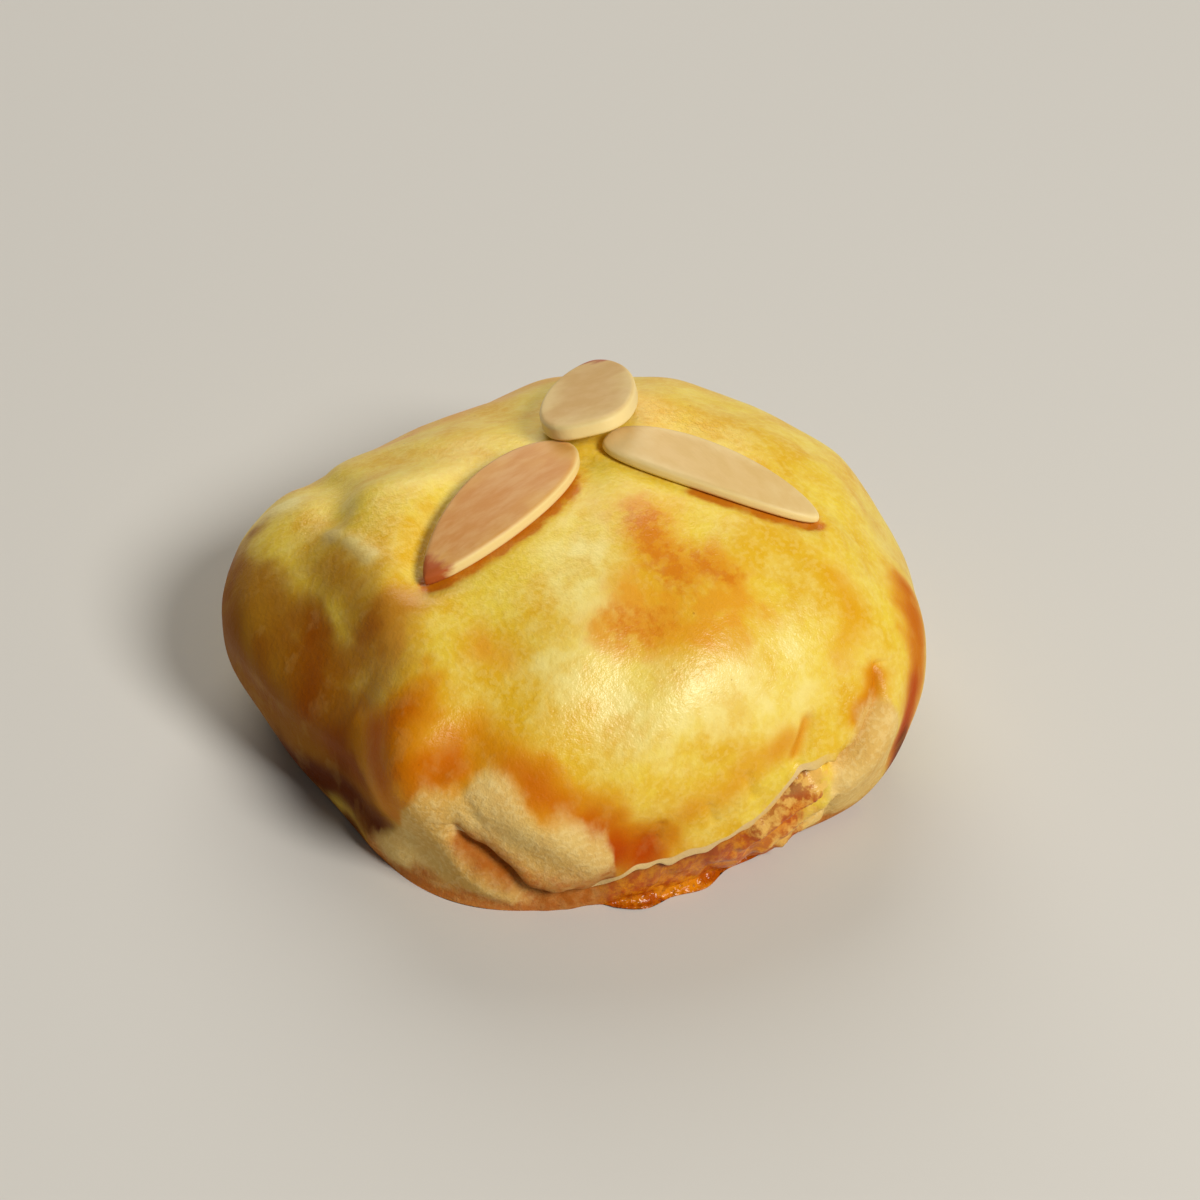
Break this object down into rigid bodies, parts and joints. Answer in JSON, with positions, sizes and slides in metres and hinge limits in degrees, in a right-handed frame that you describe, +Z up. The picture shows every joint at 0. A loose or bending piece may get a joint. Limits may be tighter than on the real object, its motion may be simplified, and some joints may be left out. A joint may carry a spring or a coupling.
{
  "type": "filled pastry roll",
  "caption": "Small plump filled pastry roll, glazed and closed like a parcel, with almond slices on its crown.",
  "frame": {"origin": "middle of the pastry's outline in plan, on the surface it rests on", "axes": "+Z up through the crown, -Y towards the hemmed front face, +X towards the smooth right side"},
  "size_m": [0.07, 0.066, 0.0343],
  "materials": {
    "dough": "egg-glazed baked dough, golden yellow with brown patches, matt and pale where unglazed",
    "almond": "blanched almond slice, satin, pale pinkish tan with cream edges"
  },
  "bodies": {
    "root": {"pastry": "dough", "almond_left": "almond", "almond_right": "almond", "almond_top": "almond"}
  },
  "joints": []
}
